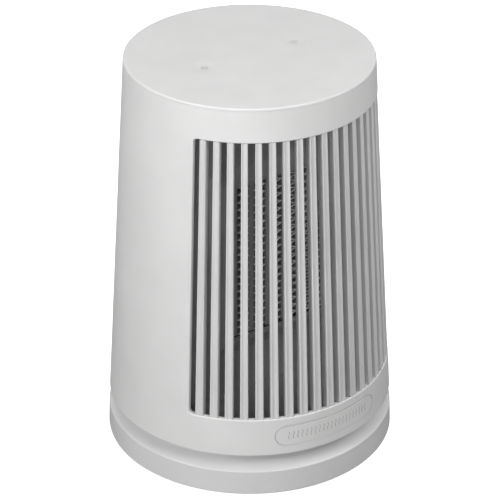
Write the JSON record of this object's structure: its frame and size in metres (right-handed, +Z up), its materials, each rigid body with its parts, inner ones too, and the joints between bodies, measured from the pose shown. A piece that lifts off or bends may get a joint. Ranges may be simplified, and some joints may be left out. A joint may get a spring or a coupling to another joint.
{
  "type": "ceramic space heater",
  "caption": "Round tapered desktop ceramic heater: a slatted head with fan and PTC core turns on a round base with a tip-over switch.",
  "frame": {"origin": "on the swivel axis, at the plane the rubber feet stand on", "axes": "+Z up along the swivel axis, -Y out of the front grille, +X to the right seen from the front"},
  "size_m": [0.151, 0.151, 0.213],
  "materials": {
    "shell_plastic": "fine matte",
    "grille_plastic": "fine matte",
    "intake_plastic": "fine matte",
    "filter_mesh": "fine mesh",
    "cover_plastic": "fine matte",
    "bezel_plastic": "matte",
    "core_frame": "matte",
    "tube_metal": "satin",
    "stone_ceramic": "matte",
    "fin_metal": "satin",
    "tab_brass": "plain",
    "bracket_steel": "plain",
    "cutout_body": "moulded",
    "fuse_ceramic": "matte",
    "fan_case": "moulded",
    "stator_steel": "laminated",
    "bearing_steel": "ground",
    "fan_plastic": "moulded",
    "magnet_iron": "plain",
    "shaft_steel": "ground",
    "screw_steel": "zinc plated",
    "floor_plastic": "moulded",
    "gear_plastic": "moulded",
    "board_laminate": "lacquered",
    "component_plastic": "moulded",
    "lead_rubber": "smooth",
    "pad_metal": "spring",
    "light_pipe": "translucent",
    "base_plastic": "fine matte",
    "plate_plastic": "moulded",
    "foot_rubber": "matte",
    "weight_steel": "mill finish",
    "motor_steel": "zinc plated",
    "slide_plastic": "smooth",
    "clip_steel": "blackened",
    "plunger_plastic": "smooth",
    "spring_steel": "wire",
    "switch_body": "moulded",
    "grommet_rubber": "matte"
  },
  "bodies": {
    "base": {"base_cover": "base_plastic", "base_plate": "plate_plastic", "rubber_feet": "foot_rubber", "base_screws": "screw_steel", "counterweight": "weight_steel", "swivel_motor": "motor_steel", "motor_screws": "screw_steel", "slide_ring": "slide_plastic", "pivot_circlip": "clip_steel", "tip_spring": "spring_steel", "tip_switch": "switch_body", "cord_grommet": "grommet_rubber"},
    "head": {"outer_shell": "shell_plastic", "front_grille": "grille_plastic", "rear_grille": "intake_plastic", "dust_filter": "filter_mesh", "top_cover": "cover_plastic", "heater_bezel": "bezel_plastic", "heater_frame": "core_frame", "ptc_tubes": "tube_metal", "ptc_stones": "stone_ceramic", "heater_fins": "fin_metal", "heater_terminals": "tab_brass", "cutout_bracket": "bracket_steel", "thermal_cutout": "cutout_body", "thermal_fuse": "fuse_ceramic", "fan_frame": "fan_case", "fan_stator": "stator_steel", "fan_bearings": "bearing_steel", "fan_screws": "screw_steel", "head_floor": "floor_plastic", "sector_gear": "gear_plastic", "head_screws": "screw_steel", "control_board": "board_laminate", "board_components": "component_plastic", "board_screws": "screw_steel", "heater_leads": "lead_rubber", "touch_board": "board_laminate", "touch_pads": "pad_metal", "light_pipes": "light_pipe", "touch_screws": "screw_steel"},
    "fan": {"fan_impeller": "fan_plastic", "rotor_magnet": "magnet_iron", "fan_shaft": "shaft_steel"},
    "pinion": {"drive_pinion": "gear_plastic"},
    "plunger": {"tip_plunger": "plunger_plastic"}
  },
  "joints": [
    {"name": "head_swivel", "type": "hinge", "parent": "base", "child": "head", "pos_m": [0, 0, 0.0275], "axis": [0, 0, 1], "range_deg": [-22.5, 22.5]},
    {"name": "fan_spin", "type": "hinge", "parent": "head", "child": "fan", "pos_m": [0, -0.0075, 0.1182], "axis": [0, 1, 0], "continuous": true},
    {"name": "pinion_spin", "type": "hinge", "parent": "base", "child": "pinion", "pos_m": [0, 0.038, 0.022], "axis": [0, 0, 1], "range_deg": [-121, 121]},
    {"name": "tip_plunge", "type": "slide", "parent": "base", "child": "plunger", "axis": [0, 0, -1], "range_m": [0, 0.003], "stiffness_N_per_m": 40, "springref_m": 0.003, "deforming": ["tip_spring"]}
  ],
  "couplings": [
    {"joint": "pinion_spin", "follows": "head_swivel", "ratio": -5.3333}
  ]
}
